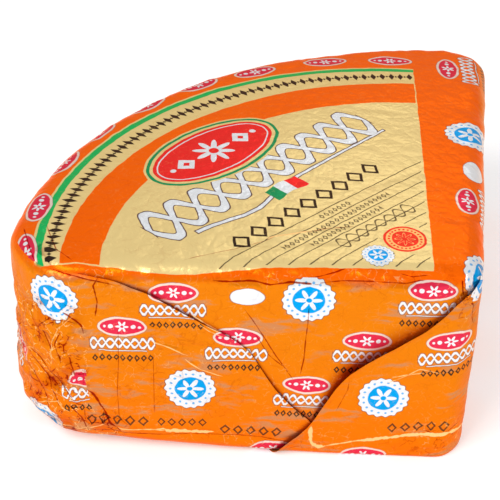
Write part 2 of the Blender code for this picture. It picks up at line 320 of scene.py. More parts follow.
# Single folds: line, height (below 0 a valley), width and half the width of the line painted along the
# crease, all in millimetres. A valley's line is dark, painted shade; a ridge's is pale, worn ink with a
# painted glint.
# Front folds are placed as the flaps' edges are, top ones on the plan with the wheel's middle at 0, 0.
FRONT_FOLDS = [
    ([(141, 72), (135, 72.6), (124, 70.8), (112, 68.2)], -0.5, 1.0, 0.2),
    ([(117, 70.5), (118.5, 67.9), (117.5, 61.1), (118.3, 56)], -0.5, 0.9, 0.22),
    ([(135.7, 48), (132, 42.2)], -0.7, 0.9, 0.2),
    ([(132.6, 50), (126.3, 35.2)], 0.8, 1.0, 0),
    ([(128.1, 57.3), (125.7, 54.5), (122.9, 52.1), (122, 49.6)], -0.7, 1.0, 0.25),
    ([(121.9, 51.6), (121.7, 26.2)], 0.7, 0.8, 0),
    ([(126.9, 40.3), (125.4, 32.6)], -0.5, 0.7, 0.2),
    ([(121.8, 26.4), (119.2, 22.5), (116.2, 15.7), (115, 11.3), (111, 7.5)], -1.4, 1.2, 0.38),
    ([(101.3, 47.1), (95.4, 44.7), (89.6, 41.2)], 0.6, 0.8, 0.13),
    ([(90.5, 39.8), (85.6, 36.4), (78.7, 32.9)], 0.6, 0.8, 0.15),
    ([(88.6, 57.4), (84, 54.2), (80, 51.4)], 0.3, 0.8, 0.2),
    ([(87, 55), (83.2, 51.8), (78.6, 49.4)], 0.3, 0.8, 0.12),
    ([(99.2, 46.5), (91, 44.8), (82.8, 44.7)], -0.4, 0.8, 0),
    ([(80.6, 32.7), (74, 32.8), (67.4, 32.1)], -0.35, 0.7, 0),
    ([(104, 40), (100, 36.3), (93, 34.3)], -0.4, 0.8, 0),
    ([(123.6, 9), (108, 7.4), (74, 8.2), (65, 7.1), (56, 5.6)], -0.6, 1.0, 0.14),
    ([(72.2, 59.9), (68.6, 53.8), (62.2, 41.8), (56.8, 33.4), (56.2, 32.5)], -0.4, 0.8, 0.15),
    ([(52.6, 62), (52.6, 55.3), (52.9, 49), (53.1, 40.9), (54, 34.2)], -0.35, 0.8, 0.16),
    ([(82, 70.4), (77.6, 70.1), (70, 70.6), (64.9, 69.5), (58.5, 70.6), (50, 70)], -0.7, 1.0, 0.3),
    ([(52, 70.2), (43, 71.4), (34.9, 71.5), (23.3, 70.9), (11.7, 74.4)], -0.6, 1.1, 0.15),
    ([(42, 74.3), (32, 73), (20, 73), (10, 71)], 0.5, 1.0, 0),
    ([(38.3, 33.4), (38.5, 28.9), (40.5, 23), (41.8, 19.7)], -0.3, 0.8, 0.1),
    ([(24.8, 35.1), (20.1, 36.8), (15.3, 37.3)], 0.4, 0.9, 0.14),
    ([(22, 30), (14, 35), (4, 37)], 0.35, 1.2, 0),
    ([(2, 62), (4.5, 52), (5.2, 40), (4, 22)], 0.3, 1.4, 0),
    ([(128, 20), (124, 14), (122, 8)], -0.6, 0.9, 0.2),
    ([(141, 36), (136, 30), (131, 18)], -0.7, 1.0, 0.2),
    ([(146, 55), (140, 47), (138, 38)], 0.6, 1.0, 0),
    ([(111.3, 52.7), (111.5, 38.6), (112.2, 26.1), (111.8, 13.2)], -0.35, 0.8, 0.09),
    ([(100.6, 42), (100.5, 30.7), (100.4, 16.9)], -0.3, 0.8, 0.07),
    ([(141.2, 38.7), (135.9, 34.3), (131.5, 28.7), (126, 21.4)], -0.8, 1.0, 0.2),
    ([(145.2, 29.8), (139.8, 27), (136.7, 22.3), (135.2, 15.4)], -0.7, 0.9, 0.18),
    ([(129.1, 49.8), (131.1, 44.3), (129.3, 37.6)], -0.6, 0.8, 0.16),
    ([(137.9, 48.5), (132.7, 53.7), (127.7, 54), (124.6, 52.3)], -0.5, 0.8, 0.12),
    ([(132.4, 36.7), (131.9, 45), (129.4, 51.7), (125.3, 55.2)], 0.5, 0.7, 0.08),
    ([(139.5, 16.4), (132, 20), (127.8, 16.8)], 0.6, 0.8, 0.1),
    ([(132.5, 8.4), (124.1, 9.4), (116.6, 11.4)], 0.4, 0.8, 0.14),
    ([(6.4, 73.7), (5.7, 67.8), (1.8, 62.3), (0.1, 54.3)], -0.5, 0.9, 0.2),
    ([(13, 12.5), (7.7, 10.3), (0.5, 13.1)], -0.4, 0.8, 0.16),
    ([(26.6, 32.2), (16.5, 39), (8.9, 37)], 0.35, 0.9, 0.1),
    ([(68.6, 50), (64.3, 41.7), (57.5, 35.5)], -0.3, 0.8, 0.12),
    ([(23.5, 73.5), (18.8, 72.8), (10.9, 72.2)], -0.5, 0.9, 0.2),
]
# Wider strips where the ink is worn off: line and half width
PALE_STRIPS = {
    "front_left_flap": [([(113.4, 9.2), (106, 9.6), (100.6, 9.9), (97, 9.6)], 0.2),
                        ([(99.6, 10.2), (94.9, 9.6), (88, 9.2), (81.3, 9.4)], 0.75)],
    "front_right_flap": [([(49.4, 13.4), (49.6, 9.4), (48.9, 5.6), (46.8, 3.9), (44, 4.6)], 0.6),
                         ([(45, 4.3), (41.9, 5.5), (38, 6.4), (34.9, 7.2)], 0.28),
                         ([(35.4, 7.1), (25, 8.9), (15.1, 10.4), (4, 10.8), (-4, 9.6)], 0.6)],
}
TOP_FOLDS = [
    ([(-135, 23), (-130.5, 10), (-125, 4.5)], -0.6, 1.2, 0.15),
    ([(-142, 21.5), (-137.5, 6.5)], -0.8, 1.2, 0.2),
    ([(-71.5, 13), (-52, 15.5), (-31, 19.5)], -0.25, 1.5, 0),
    ([(-54, 2.5), (-43, 0), (-21.5, -3.5)], 0.4, 1.2, 0),
    ([(-33, -0.5), (-15, 2.5), (1, 2)], 0.3, 1.5, 0),
    ([(-13, 28), (4, 24.5)], 0.25, 1.5, 0),
    ([(-91.5, 5.5), (-84.3, 8.3), (-75.8, 11.7), (-68.5, 15.1), (-63, 17.9)], -0.3, 0.9, 0.08),
    ([(-66, 17.2), (-57.4, 19.7), (-52.4, 21.5)], 0.35, 0.9, 0.3),
    ([(-54, 21), (-46.1, 23.9), (-38.6, 24.8)], -0.3, 0.8, 0.12),
    ([(-34, 103.2), (-25.6, 100.9), (-13.6, 99.3)], -0.25, 1.4, 0),
    ([(-34.7, 46.8), (-22.3, 54.9), (-13.2, 60)], -0.2, 1.2, 0),
    ([(-56, 0.2), (-50.8, 1), (-45.9, 2.3), (-42.3, 3.6)], -0.5, 0.9, 0.22),
    ([(-25.5, 2.5), (-21.9, 1.7), (-17, 2.4)], -0.4, 0.9, 0.12),
]


def fold_relief(places, folds):
    """Height of single folds, sharp along their middle and fading out towards their ends."""
    total = np.zeros(places.shape[:-1])
    for line, fold_height, width, ink in folds:
        low, high = np.min(line, 0) - 4 * width, np.max(line, 0) + 4 * width
        near = ((places > low) & (places < high)).all(-1)
        distance, way = beside(places[near], line)
        ends = smoothstep(way, 0, 0.15) * (1 - smoothstep(way, 0.85, 1))
        total[near] += fold_height * np.exp(-np.abs(distance) / width) * ends
    return total


def painted_crease_lines(folds, way):
    """Painted lines of the folds that go in (way -1), as painted shade, or out (way 1), as worn ink with a
    glint.
    """
    return [(line, ink) for line, fold_height, width, ink in folds if ink and fold_height * way > 0]


# Small crumpled spots of the front: place, half width, half height and strength
CRUMPLED_SPOTS = [(3, 65, 7, 9, 0.5), (7, 8, 14, 7, 0.4), (30, 72, 12, 3.5, 0.3), (66, 71, 14, 2.5, 0.3),
                  (118, 69, 12, 4, 0.3), (60, 6, 22, 5, 0.3), (100, 34, 34, 24, 0.12)]


def crumpled_share(around, up):
    """1 in the crumpled corner at the front's left end, less in the small crumpled spots, 0 elsewhere."""
    before_rim = 1 - smoothstep(around, 150, 170)
    high = smoothstep(around, 118, 128) * before_rim * (1 - smoothstep(up, 50, 66))
    low = smoothstep(around, 106, 118) * (1 - smoothstep(up, 12, 24)) * before_rim
    share = np.maximum(high, 0.8 * low)
    for middle_around, middle_up, half_width, half_height, strength in CRUMPLED_SPOTS:
        away = ((around - middle_around) / half_width)**2 + ((up - middle_up) / half_height)**2
        share = np.maximum(share, strength * np.exp(-away))
    return share


def small_facets(points):
    return facets(bent(points, 8, 0.5, 7), 4.6, 4)


def middling_facets(points):
    return facets(bent(points, 14, 0.8, 5), 10.5, 2)


def large_facets(points):
    return facets(bent(points, 30, 1.6, 3), 26, 1)


def gathers(points):
    """Facets that are drawn out upright."""
    return facets(points * (1, 1, 0.22), 6.5, 9)


def relief(points, around, up, flat):
    """How far the foil stands out from the smooth wedge, in millimetres."""
    wall = smoothstep(up, -6, 6) * (1 - smoothstep(up, 70, 84))
    crumpled = crumpled_share(around, up) * smoothstep(up, -4, 8)
    rim = smoothstep(np.abs(around), 155, 185)
    top = smoothstep(up, 72, 84)
    edge = smoothstep(up, 64, 72) * (1 - smoothstep(up, 80, 90))
    total = large_facets(points) * (0.38 * wall + 0.14 * top)
    total += middling_facets(points) * (0.28 * wall + 0.05 * top + 0.75 * crumpled)
    total += small_facets(points) * (0.13 * wall + 0.02 * top + 0.12 * edge + 0.6 * crumpled)
    total += gathers(points) * rim * wall * (0.7 - 0.55 * smoothstep(up, 52, 72))
    total += fold_relief(np.stack([around, up], -1), FRONT_FOLDS) * smoothstep(up, -4, 5) * (up < WALL_END)
    return total + fold_relief(flat, TOP_FOLDS) * top


def inside(places, line, other):
    """Distance of places from a line, above 0 on the side where the other line lies."""
    towards = beside(np.mean(other, 0)[None], line)[0]
    return beside(places, line)[0] * np.sign(towards)


def covered(around, up, flap):
    """1 under a flap, 0 beside it, with a soft border just inside the flap's free edge and its root."""
    places = np.stack([around, up], -1)
    from_edge = inside(places, flap["edge"], flap["root"])
    from_root = inside(places, flap["root"], flap["edge"])
    return smoothstep(from_edge, 0.6, 3.0) * smoothstep(from_root, 0.5, 5) * (up < WALL_END)


def fold_shade(points, around, up, name):
    """Painted shadow beside the flaps that lie on a piece and painted shade in the dents of its crumpled
    foil, and how closely its foil is creased, both 0 to 1. Each flap lies on the ones that are listed before
    it."""
    places = np.stack([around, up], -1)
    shade = np.zeros(around.shape)
    above = list(FLAPS)[list(FLAPS).index(name) + 1:] if name in FLAPS else list(FLAPS)
    for flap in (FLAPS[flap_name] for flap_name in above):
        outside = -inside(places, flap["edge"], flap["root"])
        way = beside(places, flap["edge"])[1]
        shares, widths, strengths = np.transpose(flap["shadow"])
        width, strength = np.interp(way, shares, widths), np.interp(way, shares, strengths)
        near = np.exp(-(np.clip(outside, 0, None) / width)**2) * (outside > -2.5) * (up < SHADOW_END)
        shade = np.maximum(shade, strength * near)
    crumpled = crumpled_share(around, up)
    dents = small_facets(points) * 0.6 + middling_facets(points) * 0.6
    # Painted shade in the dents of the crumpled foil
    shade = np.maximum(shade, crumpled * smoothstep(-dents, 0.05, 0.65) * 0.35)
    return np.stack([shade, crumpled], -1)


# Meshes: each is an even grid whose points are then laid on the wedge

def laid_grid(name, points, maps):
    """Mesh piece of a grid of points (rows, columns, 3) in millimetres, with its print maps."""
    rows, columns = points.shape[:2]
    grid = bmesh.new()
    bmesh.ops.create_grid(grid, x_segments=columns - 1, y_segments=rows - 1, size=1)
    mesh = bpy.data.meshes.new(name)
    grid.to_mesh(mesh)
    grid.free()
    flat = np.empty(len(mesh.vertices) * 3)
    mesh.vertices.foreach_get("co", flat)
    flat = flat.reshape(-1, 3)
    column = np.rint((flat[:, 0] + 1) / 2 * (columns - 1)).astype(int)
    row = np.rint((flat[:, 1] + 1) / 2 * (rows - 1)).astype(int)
    placed = points[row, column] * MM + np.array(WHEEL_MIDDLE)
    placed[:, 2] = np.maximum(placed[:, 2], LOW.z)
    mesh.vertices.foreach_set("co", placed.ravel())
    corners = np.empty(len(mesh.loops), int)
    mesh.loops.foreach_get("vertex_index", corners)
    faces = corners.reshape(-1, 4)
    for label, values in maps(row, column, faces).items():
        layer = mesh.uv_layers.new(name=label)
        layer.data.foreach_set("uv", values.astype(np.float32).ravel())
    return mesh


def smooth_piece(name, mesh):
    """Object of a mesh whose doubled points are welded and whose normals face out."""
    work = bmesh.new()
    work.from_mesh(mesh)
    bmesh.ops.remove_doubles(work, verts=work.verts, dist=2e-6)
    bmesh.ops.recalc_face_normals(work, faces=work.faces)
    for face in work.faces:
        face.smooth = True
    work.to_mesh(mesh)
    work.free()
    piece = bpy.data.objects.new(name, mesh)
    bpy.context.scene.collection.objects.link(piece)
    return piece


def motif_maps(listed, centres, corners, mirrored):
    """For each face the kind of its nearest motif, and for its corners the place on that motif. On the walls
    the way round the outline runs from right to left, so the motifs are mirrored there."""
    across = -1 if mirrored else 1
    spots = np.array([motif[1:3] for motif in listed], float)
    turns = np.radians([motif[3] * across for motif in listed])
    sizes = np.array([motif[4] for motif in listed], float)
    spans = np.array([MOTIF_SPANS[motif[0]] for motif in listed])
    cuts = np.array([motif[5] if len(motif) > 5 else np.inf for motif in listed])
    cosines, sines = np.cos(turns), np.sin(turns)

    def on_motif(places, spot, cosine, sine, size):
        offset = places - spot
        return np.stack([(offset[..., 0] * cosine + offset[..., 1] * sine) * across,
                         offset[..., 1] * cosine - offset[..., 0] * sine], -1) / size[..., None]

    local = on_motif(centres[:, None], spots, cosines, sines, sizes)
    local[..., 1] -= spans[:, 2]
    nearest = np.linalg.norm(local / spans[:, :2], axis=2).argmin(1)
    kinds = np.array([MOTIF_KINDS.index(motif[0]) for motif in listed])[nearest]
    kinds[local[np.arange(len(nearest)), nearest, 0] > cuts[nearest]] = MOTIF_KINDS.index("bare")
    nearest = nearest.repeat(4)
    return kinds, on_motif(corners, spots[nearest], cosines[nearest], sines[nearest], sizes[nearest])


CREASE_REACH = 6.0  # faces further than this from a crease don't know of it


def crease_maps(listed, centres, corners):
    """For each face the half width of its nearest crease line, and for its corners the distance and the
    way along it."""
    nearest = np.full(len(centres), CREASE_REACH)
    half_width = np.zeros(len(centres))
    local = np.tile([CREASE_REACH * 1.5, 0.5], (len(corners), 1))
    for line, ink in listed:
        low, high = np.min(line, 0) - CREASE_REACH, np.max(line, 0) + CREASE_REACH
        near = np.flatnonzero(((centres > low) & (centres < high)).all(1))
        distance = np.abs(beside(centres[near], line)[0])
        closer = near[distance < nearest[near]]
        nearest[near] = np.minimum(nearest[near], distance)
        half_width[closer] = ink
        picked = (closer[:, None] * 4 + np.arange(4)).ravel()
        local[picked] = np.stack(beside(corners[picked], line, open_ends=True), 1)
    return half_width, local


def print_maps(wedge, around, up, flat, points, name):
    """The print maps of a piece's grid, for its corners: the place on the top's print, the place on the
    wall's print, every face's nearest motif, its shading, and its nearest dark and pale creases."""
    shade = fold_shade(points, around, up, name)

    def maps(row, column, faces):
        def corners(grid):
            return grid[row, column][faces.ravel()]

        def centres(grid):
            return grid[row, column][faces].mean(1)

        place = np.stack([around, up], -1)
        middle_around, middle_up = centres(place).T
        on_side = (middle_around < SIDE_FROM) & (middle_around > SIDE_END)
        is_top = middle_up > np.where(on_side, SIDE_TOP_PRINT_FROM, TOP_PRINT_FROM)
        kind, dark, pale = np.zeros((3, len(faces)))
        motif, dark_place, pale_place = np.zeros((3, len(faces) * 4, 2))
        wall_ridges = painted_crease_lines(FRONT_FOLDS, 1) + PALE_STRIPS.get(name, [])
        for grid, chosen, motifs, mirrored, valleys, ridges in (
                (place, ~is_top, WALL_MOTIFS[name], True, painted_crease_lines(FRONT_FOLDS, -1), wall_ridges),
                (flat, is_top, TOP_MOTIFS, False, painted_crease_lines(TOP_FOLDS, -1), painted_crease_lines(TOP_FOLDS, 1))):
            if not chosen.any():
                continue
            picked = chosen.repeat(4)
            middles, ends = centres(grid)[chosen], corners(grid)[picked]
            kind[chosen], motif[picked] = motif_maps(motifs, middles, ends, mirrored)
            dark[chosen], dark_place[picked] = crease_maps(valleys, middles, ends)
            pale[chosen], pale_place[picked] = crease_maps(ridges, middles, ends)
        return {"top_print": corners(flat) * MM, "wall_print": corners(place) * MM,
                "motif_print": motif * MM,
                "motif_kind": np.stack([kind, np.zeros(len(faces))], 1).repeat(4, 0),
                "crease_width": np.stack([dark, pale], 1).repeat(4, 0),
                "folds": corners(shade), "dark_crease": dark_place, "pale_crease": pale_place}

    return maps


def foil_wrap(wedge):
    """The foil round the whole wedge."""
    around = np.broadcast_to(wedge.around, wedge.up.shape)
    out = relief(wedge.points, around, wedge.up, wedge.flat)
    out = out * smoothstep(wedge.up, -7, 3)
    for flap in FLAPS.values():
        out -= SHARE_UNDER * covered(around, wedge.up, flap) * smoothstep(wedge.up, -2, 4)
    out[:, -1] = out[:, 0]
    points = wedge.points + wedge.normals * out[..., None]
    mesh = laid_grid("foil_wrap", points,
                     print_maps(wedge, around, wedge.up, wedge.flat, wedge.points, "foil_wrap"))
    return smooth_piece("foil_wrap", mesh)


def even_line(line, count):
    """Points at even steps along a line that is rounded through the listed points."""
    line = np.asarray(line, float)
    lengths = np.concatenate([[0], np.cumsum(np.linalg.norm(np.diff(line, axis=0), axis=1))])
    fine = np.linspace(0, lengths[-1], 400)
    rounded = np.stack([np.interp(fine, lengths, line[:, axis]) for axis in range(2)], 1)
    kernel = np.hanning(23) / np.hanning(23).sum()
    before, after = 2 * rounded[:1] - rounded[11:0:-1], 2 * rounded[-1:] - rounded[-2:-13:-1]
    padded = np.concatenate([before, rounded, after])
    rounded = np.stack([np.convolve(padded[:, axis], kernel, "valid") for axis in range(2)], 1)
    even = np.linspace(0, lengths[-1], count)
    return np.stack([np.interp(even, fine, rounded[:, axis]) for axis in range(2)], 1)


def foil_flap(wedge, name, flap):
    """A sheet of foil folded over a wall, from its root round the corner to its free edge."""
    count = int(np.linalg.norm(np.diff(flap["edge"], axis=0), axis=1).sum() / FLAP_STEP)
    edge = even_line(flap["edge"], count)
    shares = np.linspace(0, 1, count)[:, None]
    root = np.asarray(flap["root"][0]) * (1 - shares) + np.asarray(flap["root"][1]) * shares
    widest = np.linalg.norm(edge - root, axis=1).max()
    across = np.linspace(0, 1, int(widest / FLAP_STEP))
    across = (across * 0.6 + 0.4 * np.sin(across * math.pi / 2))[None, :, None]
    places = root[:, None] * (1 - across) + edge[:, None] * across
    around, up = places[..., 0], places[..., 1]
    points, normals, flat = (values.reshape(around.shape + (-1,)) for values in
                             wedge.on_wall(around.ravel(), up.ravel()))
    from_edge = np.linalg.norm(places - edge[:, None], axis=2)
    from_root = np.linalg.norm(places - root[:, None], axis=2)
    out = relief(points, around, up, flat) * smoothstep(up, -7, 3)
    rise = smoothstep(from_root, 0, 12)
    wavy = (1 + 0.5 * facets(points, 17, 21)) * smoothstep(shares, 0, 0.15)
    out += -0.25 + rise * (0.25 + flap["stands"] * wavy)
    out += rise * flap["curl"] * np.exp(-from_edge / 2.2) * wavy
    out *= 1 - 0.7 * (1 - smoothstep(up, -4, 6))
    mesh = laid_grid(name, points + normals * out[..., None],
                     print_maps(wedge, around, up, flat, points, name))
    piece = smooth_piece(name, mesh)
    shell = piece.modifiers.new("thickness", "SOLIDIFY")
    shell.thickness = FOIL_THICKNESS * MM
    shell.offset = -1
    return piece


# Print: where the small motifs lie. Each is (kind, place, place, turn in degrees, size); on walls the place
# is millimetres round the outline and height, on the top it lies on the plan. A sixth value is how far to the
# right of its middle a motif goes before a fold hides it.
MOTIF_KINDS = ["bare", "block", "seal", "oval", "plaque", "rosette", "row"]
# Half width, half height and middle height of each kind
MOTIF_SPANS = {"block": (10.5, 9.5, -5), "seal": (8.6, 8.6, 0), "oval": (5.6, 3.3, 0),
               "plaque": (7.9, 3.9, 0), "rosette": (7.2, 7.2, 0), "row": (10.8, 2.8, 0)}
# The top's motifs reach down over the edge to these heights, further on the side than elsewhere
TOP_PRINT_FROM, SIDE_TOP_PRINT_FROM = 72, 64
# Where the side starts and ends round the outline, the front ends, and a length past the seam behind
SIDE_FROM, SIDE_END, FRONT_END, PAST_SEAM = 5, -165, 160, 300

FRONT_TOP_MOTIFS = [("seal", 52.8, 64.2, 0, 1), ("block", 94.3, 65.6, 0, 1), ("block", 15, 68.6, 0, 1),
                    ("oval", 71.7, 64.8, 0, 1), ("block", 33.8, 48.7, 0, 1), ("block", 74.1, 49.1, -7, 1),
                    ("block", 51.6, 30.1, -3, 1)]
FRONT_LEFT_MOTIFS = [("seal", 131.5, 61.7, 4, 1), ("block", 110.1, 52.3, 0, 1), ("block", 74.1, 49.1, 0, 1),
                     ("seal", 88.9, 27.7, 0, 1), ("block", 51.6, 30.1, -3, 1),
                     ("block", 120.3, 31.2, 4, 1, -1.6), ("block", 147.6, 36.4, -60, 0.9),
                     ("seal", 139.2, 8.7, 0, 1), ("block", 61.4, 2.2, 0, 1),
                     ("block", 94.3, 65.6, 0, 1), ("row", 112.5, 13.6, -1, 1), ("row", 69, 10.3, -3, 1),
                     ("row", 91.5, 13.4, 0, 0.8)]
FRONT_RIGHT_MOTIFS = [("block", 7.7, 49.9, 5, 1), ("seal", 26.9, 26.2, 0, 1), ("block", 31.5, 0.6, 0, 1),
                      ("row", 14.5, 13.9, 3, 1)]

# The half-drop pattern goes on evenly where the photo doesn't show it, and meets itself behind: its columns
# divide the whole way round the outline.
LATTICE_START, LATTICE_PITCH, LATTICE_BASE, LATTICE_RISE = 3.8, 553.25 / 28, 14, 17.5


def lattice(around_low, around_high, rows):
    """Blocks and seals between two places round the outline, from the base up."""
    listed = []
    first = math.ceil((around_low - LATTICE_START) / LATTICE_PITCH)
    last = math.floor((around_high - LATTICE_START) / LATTICE_PITCH)
    for column in range(first, last + 1):
        for row in range(-1, rows):
            if (row + column) % 2 == 0:
                kind = "block" if column % 2 else "seal"
                height = row * LATTICE_RISE + LATTICE_BASE
                listed.append((kind, LATTICE_START + column * LATTICE_PITCH, height, 0, 1))
    return listed


RIM_MOTIFS = lattice(FRONT_END, PAST_SEAM, 5) + lattice(-PAST_SEAM, SIDE_END, 5)
SIDE_MOTIFS = lattice(SIDE_END, -10, 3)
WALL_MOTIFS = {
    "foil_wrap": FRONT_TOP_MOTIFS + RIM_MOTIFS + SIDE_MOTIFS,
    "front_left_flap": FRONT_LEFT_MOTIFS + RIM_MOTIFS,
    "front_right_flap": FRONT_RIGHT_MOTIFS + SIDE_MOTIFS,
    "side_back_flap": RIM_MOTIFS + SIDE_MOTIFS,
}
ROSETTE_PLACE = (-22.8, 18.5)
TOP_MOTIFS = [("rosette", *ROSETTE_PLACE, 0, 1), ("seal", -31.8, 9.6, 0, 0.62),
              ("block", 4.5, 138.6, 88, 1.15), ("seal", 6, 86.4, 86, 1.05),
              ("oval", 4.2, 61.5, 86, 1.15), ("block", -0.4, 41.9, 86, 1),
              ("seal", 2.6, 5.0, 86, 1)]
# The plaques along the top's rim face away from one middle.
RIM_MIDDLE = (-16, 20)
RIM_PLAQUES = [(-17.3, 144), (-42.5, 141.8), (-69.5, 131.5), (-90.6, 120), (-108.8, 104.6), (-124.5, 84),
               (-134.1, 63.3), (-138.8, 33.5), (-140.5, 10)]
for plaque_x, plaque_y in RIM_PLAQUES:
    plaque_turn = math.degrees(math.atan2(plaque_y - RIM_MIDDLE[1], plaque_x - RIM_MIDDLE[0])) - 90
    TOP_MOTIFS.append(("plaque", plaque_x, plaque_y, plaque_turn, 1.1))


# Node groups of the print: they give out only colours, masks, distances and heights. Lengths are millimetres.

class Net:
    """A node group that is built from short formulas."""

    def __init__(self, name, inputs, outputs):
        self.tree = bpy.data.node_groups.new(name, "ShaderNodeTree")
        for label, kind, value in inputs:
            socket = self.tree.interface.new_socket(label, in_out="INPUT", socket_type="NodeSocket" + kind)
            if value is not None:
                socket.default_value = value
        for label, kind in outputs:
            self.tree.interface.new_socket(label, in_out="OUTPUT", socket_type="NodeSocket" + kind)
        self.given = self.tree.nodes.new("NodeGroupInput").outputs
        self.results = self.tree.nodes.new("NodeGroupOutput").inputs

    def put(self, socket, value):
        if isinstance(value, bpy.types.NodeSocket):
            self.tree.links.new(value, socket)
        elif value is not None:
            socket.default_value = value

    def done(self, label, value):
        """The finished group, with the value that it gives out."""
        self.put(self.results[label], value)
        return self.tree

    def node(self, kind, *values, **settings):
        node = self.tree.nodes.new("ShaderNode" + kind)
        for label, value in settings.items():
            setattr(node, label, value)
        for socket, value in zip(node.inputs, values):
            self.put(socket, value)
        return node

    def noise(self, place, scale, detail):
        node = self.node("TexNoise", place)
        self.put(node.inputs["Scale"], scale)
        self.put(node.inputs["Detail"], detail)
        return node.outputs

    def math(self, operation, *values):
        return self.node("Math", *values, operation=operation).outputs[0]

    def add(self, a, b):
        return self.math("ADD", a, b)

    def less(self, a, b):
        return self.math("SUBTRACT", a, b)

    def times(self, a, b):
        return self.math("MULTIPLY", a, b)

    def ratio(self, a, b):
        return self.math("DIVIDE", a, b)

    def absolute(self, a):
        return self.math("ABSOLUTE", a)

    def both(self, a, b):
        return self.math("MAXIMUM", a, b)

    def either(self, a, b):
        return self.math("MINIMUM", a, b)

    def split(self, vector, scale=1.0):
        scaled = self.node("VectorMath", vector, (scale,) * 3, operation="MULTIPLY").outputs[0]
        parts = self.node("SeparateXYZ", scaled).outputs
        return parts[0], parts[1]

    def fade(self, value, low, high):
        """0 up to low, 1 from high on."""
        return self.node("MapRange", value, low, high, 0.0, 1.0).outputs[0]

    def inside(self, distance, soft=0.1):
        """1 where a distance is below 0."""
        return self.node("MapRange", distance, -soft, soft, 1.0, 0.0).outputs[0]

    def bell(self, value):
        """1 where a value is 0, falling to 0 on both sides."""
        return self.math("EXPONENT", self.times(self.times(value, value), -1.0))

    def length(self, x, y):
        return self.math("SQRT", self.add(self.times(x, x), self.times(y, y)))

    def disc(self, x, y, centre_x, centre_y, radius):
        """Distance from a circle, below 0 inside."""
        return self.less(self.length(self.less(x, centre_x), self.less(y, centre_y)), radius)

    def slab(self, x, y, half_width, half_height, corner):
        """Distance from a rectangle with round corners, below 0 inside."""
        across = self.less(self.absolute(x), half_width - corner)
        up = self.less(self.absolute(y), half_height - corner)
        outer = self.length(self.both(across, 0.0), self.both(up, 0.0))
        return self.less(self.add(outer, self.either(self.both(across, up), 0.0)), corner)

    def oval(self, x, y, half_width, half_height):
        """Distance from an ellipse, below 0 inside."""
        share = self.length(self.ratio(x, half_width), self.ratio(y, half_height))
        steepness = self.length(self.ratio(x, half_width**2), self.ratio(y, half_height**2))
        return self.ratio(self.times(share, self.less(share, 1.0)), self.both(steepness, 0.001))

    def flower(self, x, y, middle, reach, petals):
        """Distance from a flower of round petals, below 0 inside."""
        turn = self.times(self.math("ARCTAN2", y, x), float(petals))
        return self.less(self.length(x, y), self.add(middle, self.times(reach, self.math("COSINE", turn))))

    def ring_of_dots(self, x, y, reach, count, radius):
        """Distance from dots that lie evenly on a ring, below 0 inside."""
        half_pitch = math.pi * reach / count
        way = self.times(self.math("ARCTAN2", y, x), reach)
        way = self.math("WRAP", way, half_pitch, -half_pitch)
        return self.less(self.length(way, self.less(self.length(x, y), reach)), radius)

    def stroke(self, distance, half_width):
        """Distance from a line of some width that follows where another distance is 0."""
        return self.less(self.absolute(distance), half_width)

    def border(self, shape, half_width):
        """Distance from a line that runs just inside a shape's edge."""
        return self.stroke(self.add(shape, half_width), half_width)

    def paint(self, under, colour, mask):
        node = self.node("Mix", data_type="RGBA")
        self.put(node.inputs[0], mask)
        self.put(node.inputs[6], under)
        self.put(node.inputs[7], colour)
        return node.outputs[2]

    def inked(self, under, shape, strength=1.0):
        """A shape in dark ink."""
        return self.paint(under, DARK, self.times(self.inside(shape), strength))

    def outlined(self, under, shape, rim, strength=0.75):
        """Dark outline of a shape, for the shape to be painted on."""
        return self.paint(under, OUTLINE, self.times(self.inside(self.less(shape, rim)), strength))

    def use(self, group, **values):
        node = self.node("Group", node_tree=group)
        for label, value in values.items():
            self.put(node.inputs[label.replace("_", " ").title()], value)
        return node.outputs[0]


CREAM = (0.85, 0.645, 0.275, 1)
TOP_ORANGE = (1.0, 0.14, 0.002, 1)
# Painted reflection: the walls' ground is a yellower orange than the top's, as the foil mirrors the pale
# floor
FLOOR_LIT_WALL_ORANGE = (0.78, 0.205, 0.004, 1)
# Painted shade: the walls' ground darkens towards the base
SHADED_LOW_ORANGE = (0.84, 0.172, 0.002, 1)
GREEN = (0.012, 0.48, 0.12, 1)
TILE_GREEN = (0.01, 0.30, 0.11, 1)
WHITE = (0.80, 0.83, 0.86, 1)
DARK = (0.035, 0.022, 0.016, 1)
OUTLINE = (0.10, 0.05, 0.06, 1)
MEDALLION_RED = (0.90, 0.03, 0.03, 1)
PLAQUE_RED = (0.74, 0.028, 0.075, 1)
PLAQUE_RIM = (0.84, 0.66, 0.58, 1)
SEAL_BLUE = (0.0, 0.35, 0.80, 1)
ROSETTE_RED = (0.85, 0.045, 0.025, 1)
ROSETTE_PEACH = (1.0, 0.50, 0.17, 1)
# Worn-off strips, and worn ink with a painted glint along ridge folds
PALE_STRIP = (1.0, 0.60, 0.24, 1)
# Painted shadow beside the flaps and painted shade in dents
SHADED = (0.42, 0.10, 0.10, 1)
# Painted shade on the crumpled foil's facets
FACET_SHADE = (0.88, 0.58, 0.5, 1)
# Painted shade in creases
CREASE_SHADE = (0.42, 0.08, 0.05, 1)
# Painted glints
PAINTED_GLINT = (1.0, 0.62, 0.25, 1)
# Dull brownish tone in level streaks
LEVEL_STREAK_BROWN = (0.60, 0.235, 0.085, 1)

TO_MM = 1000.0
PLACE = [("X", "Float", 0.0), ("Y", "Float", 0.0)]


